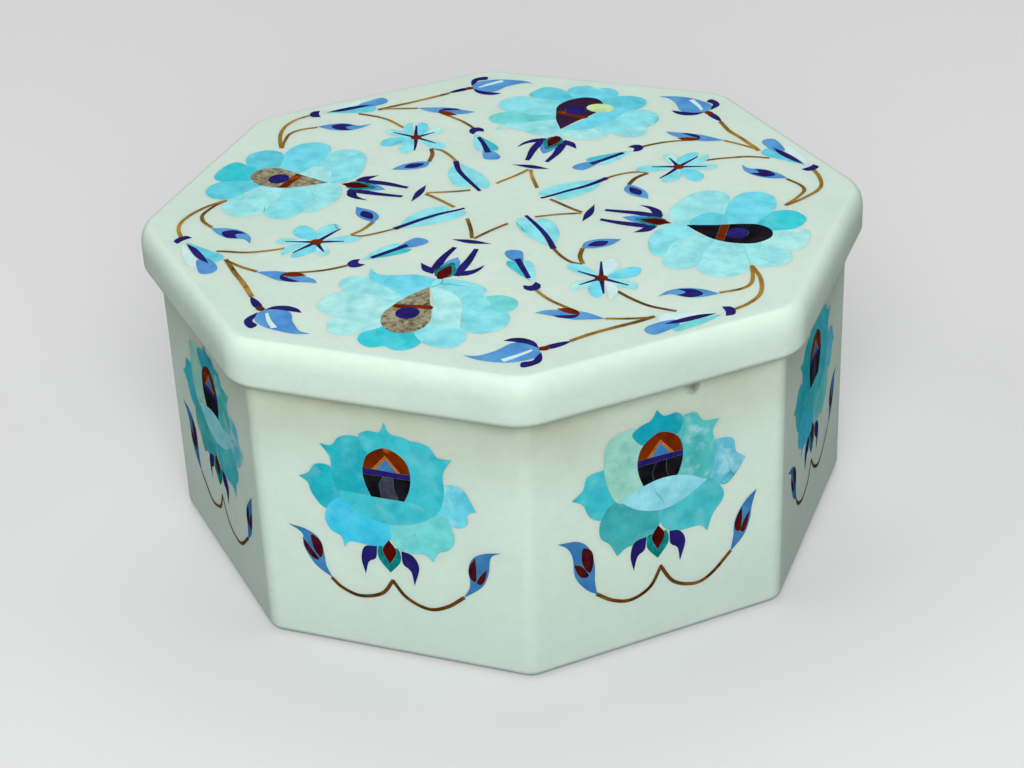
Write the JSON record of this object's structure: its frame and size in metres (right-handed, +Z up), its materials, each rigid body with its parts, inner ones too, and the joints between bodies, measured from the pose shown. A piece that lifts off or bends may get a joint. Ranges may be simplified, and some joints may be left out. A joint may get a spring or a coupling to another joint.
{
  "type": "jewelry box",
  "caption": "Octagonal white marble jewelry box, hollow, with a lift-off round-edged lid and flush floral stone inlay on the lid and side panels.",
  "frame": {"origin": "middle of the underside, on the surface the box stands on", "axes": "+Z up through the lid; flats of the octagon face +-X and +-Y; -Y is the panel at the picture's front left"},
  "size_m": [0.127, 0.127, 0.0616],
  "materials": {
    "marble": "hand-polished white marble, soft sheen",
    "turquoise": "polished turquoise, mottled pale to bright blue",
    "onyx": "polished black onyx",
    "lapis": "polished lapis blue stone",
    "carnelian": "polished red-brown carnelian"
  },
  "bodies": {
    "root": {"box": "marble", "lid": "marble", "side_flower_1": "turquoise", "side_flower_2": "turquoise", "side_flower_3": "turquoise", "side_flower_4": "turquoise", "side_flower_5": "turquoise", "side_flower_6": "turquoise", "side_flower_7": "turquoise", "side_flower_8": "turquoise", "side_flower_eye_1": "onyx", "side_flower_eye_2": "onyx", "side_flower_eye_3": "onyx", "side_flower_eye_4": "onyx", "side_flower_eye_5": "onyx", "side_flower_eye_6": "onyx", "side_flower_eye_7": "onyx", "side_flower_eye_8": "onyx", "side_spray_1": "lapis", "side_spray_2": "lapis", "side_spray_3": "lapis", "side_spray_4": "lapis", "side_spray_5": "lapis", "side_spray_6": "lapis", "side_spray_7": "lapis", "side_spray_8": "lapis", "lid_flower_1": "turquoise", "lid_flower_2": "turquoise", "lid_flower_3": "turquoise", "lid_flower_4": "turquoise", "lid_flower_eye_1": "onyx", "lid_flower_eye_2": "onyx", "lid_flower_eye_3": "onyx", "lid_flower_eye_4": "onyx", "lid_calyx_1": "carnelian", "lid_calyx_2": "carnelian", "lid_calyx_3": "carnelian", "lid_calyx_4": "carnelian", "lid_star_flower_1": "turquoise", "lid_star_flower_2": "turquoise", "lid_star_flower_3": "turquoise", "lid_star_flower_4": "turquoise", "lid_bud_1": "turquoise", "lid_bud_2": "turquoise", "lid_bud_3": "turquoise", "lid_bud_4": "turquoise", "lid_tulip_1": "lapis", "lid_tulip_2": "lapis", "lid_tulip_3": "lapis", "lid_tulip_4": "lapis"}
  },
  "joints": []
}
